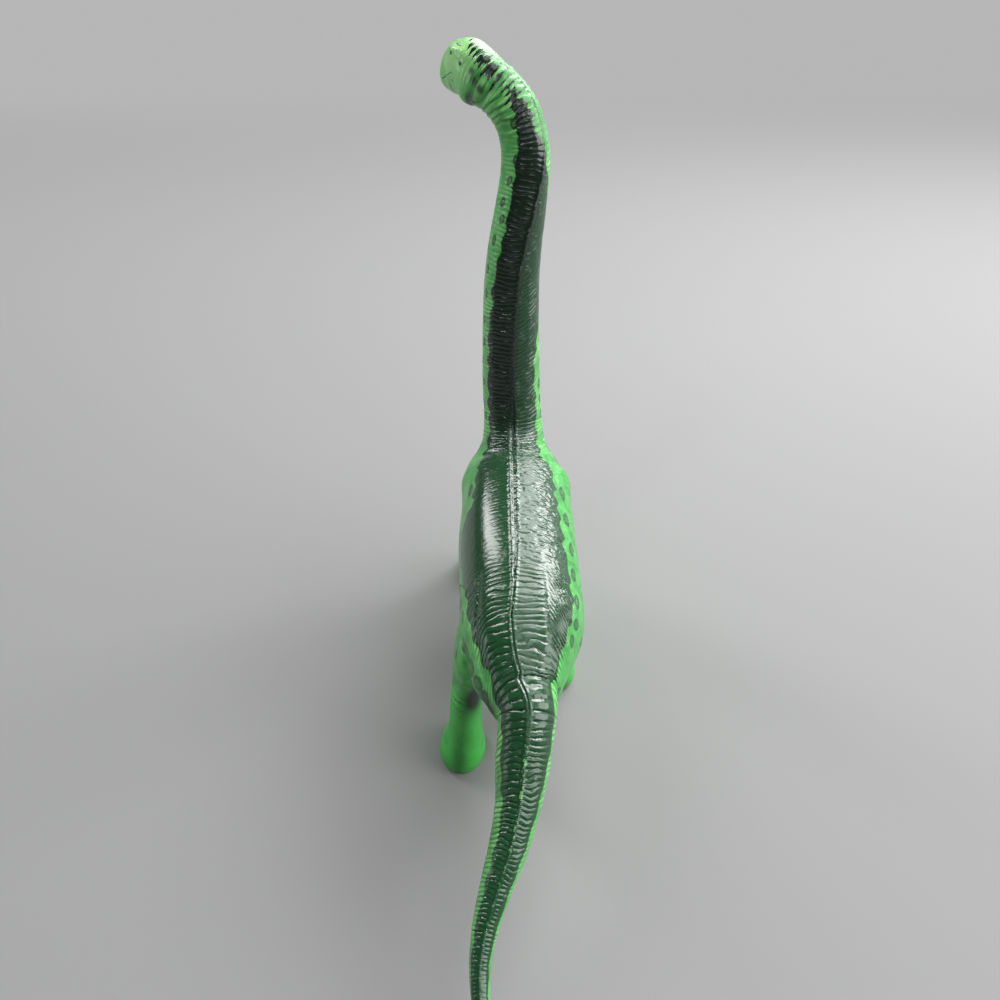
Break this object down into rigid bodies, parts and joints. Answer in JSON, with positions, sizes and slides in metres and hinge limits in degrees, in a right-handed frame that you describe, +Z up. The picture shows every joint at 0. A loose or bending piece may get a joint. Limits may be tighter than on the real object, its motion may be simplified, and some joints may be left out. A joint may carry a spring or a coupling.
{
  "type": "toy dinosaur figure",
  "caption": "Long-necked plant-eating dinosaur figure with hollow moulded shells, swivelling legs, neck, head and tail, glossy green with a dark back.",
  "frame": {"origin": "on the floor under the middle of the figure's box", "axes": "+Y the way the animal walks, +X its right side, +Z up"},
  "size_m": [0.0614, 0.3094, 0.2498],
  "materials": {
    "torso_left_shell": "glossy dark green back over light green sides",
    "torso_right_shell": "glossy dark green back over light green sides",
    "torso_screw_1": "plain",
    "torso_screw_2": "plain",
    "torso_screw_3": "plain",
    "torso_screw_4": "plain",
    "front_left_leg": "semi-gloss light green",
    "front_left_leg_retainer": "as moulded",
    "front_right_leg": "semi-gloss light green",
    "front_right_leg_retainer": "as moulded",
    "hind_left_leg": "semi-gloss light green",
    "hind_left_leg_retainer": "as moulded",
    "hind_right_leg": "semi-gloss light green",
    "hind_right_leg_retainer": "as moulded",
    "neck_left_shell": "light green with a glossy dark green stripe",
    "neck_right_shell": "light green with a glossy dark green stripe",
    "neck_swivel": "as moulded",
    "head": "semi-gloss light green",
    "lower_jaw": "semi-gloss light green",
    "head_swivel": "as moulded",
    "tail_left_shell": "glossy dark green back over light green sides",
    "tail_right_shell": "glossy dark green back over light green sides",
    "tail_swivel": "as moulded",
    "tail_tip": "glossy dark green back over light green sides"
  },
  "bodies": {
    "torso": {"torso_left_shell": "torso_left_shell", "torso_right_shell": "torso_right_shell", "torso_screw_1": "torso_screw_1", "torso_screw_2": "torso_screw_2", "torso_screw_3": "torso_screw_3", "torso_screw_4": "torso_screw_4"},
    "neck": {"neck_left_shell": "neck_left_shell", "neck_right_shell": "neck_right_shell", "neck_swivel": "neck_swivel"},
    "head": {"head": "head", "lower_jaw": "lower_jaw", "head_swivel": "head_swivel"},
    "tail": {"tail_left_shell": "tail_left_shell", "tail_right_shell": "tail_right_shell", "tail_swivel": "tail_swivel", "tail_tip": "tail_tip"},
    "front_left_leg": {"front_left_leg": "front_left_leg", "front_left_leg_retainer": "front_left_leg_retainer"},
    "front_right_leg": {"front_right_leg": "front_right_leg", "front_right_leg_retainer": "front_right_leg_retainer"},
    "hind_left_leg": {"hind_left_leg": "hind_left_leg", "hind_left_leg_retainer": "hind_left_leg_retainer"},
    "hind_right_leg": {"hind_right_leg": "hind_right_leg", "hind_right_leg_retainer": "hind_right_leg_retainer"}
  },
  "joints": [
    {"name": "neck_swivel", "type": "hinge", "parent": "torso", "child": "neck", "pos_m": [0.00104, 0.11006, 0.09504], "axis": [-0.0161, 0.2757, 0.9611], "range_deg": [-30, 30]},
    {"name": "head_swivel", "type": "hinge", "parent": "neck", "child": "head", "pos_m": [-0.00918, 0.12952, 0.23532], "axis": [-0.7323, 0.491, 0.4719], "range_deg": [-25, 25]},
    {"name": "tail_swivel", "type": "hinge", "parent": "torso", "child": "tail", "pos_m": [0.00505, -0.03814, 0.05952], "axis": [0.0344, 0.9328, 0.3588], "range_deg": [-40, 40]},
    {"name": "front_left_shoulder", "type": "hinge", "parent": "torso", "child": "front_left_leg", "pos_m": [0.00104, 0.08354, 0.058], "axis": [1, 0, 0], "range_deg": [-26, 8]},
    {"name": "front_right_shoulder", "type": "hinge", "parent": "torso", "child": "front_right_leg", "pos_m": [0.00104, 0.08354, 0.058], "axis": [1, 0, 0], "range_deg": [-8, 26]},
    {"name": "hind_left_hip", "type": "hinge", "parent": "torso", "child": "hind_left_leg", "pos_m": [0.00104, 0.00554, 0.054], "axis": [1, 0, 0], "range_deg": [-8, 26]},
    {"name": "hind_right_hip", "type": "hinge", "parent": "torso", "child": "hind_right_leg", "pos_m": [0.00104, 0.00554, 0.054], "axis": [1, 0, 0], "range_deg": [-30, 6]}
  ]
}
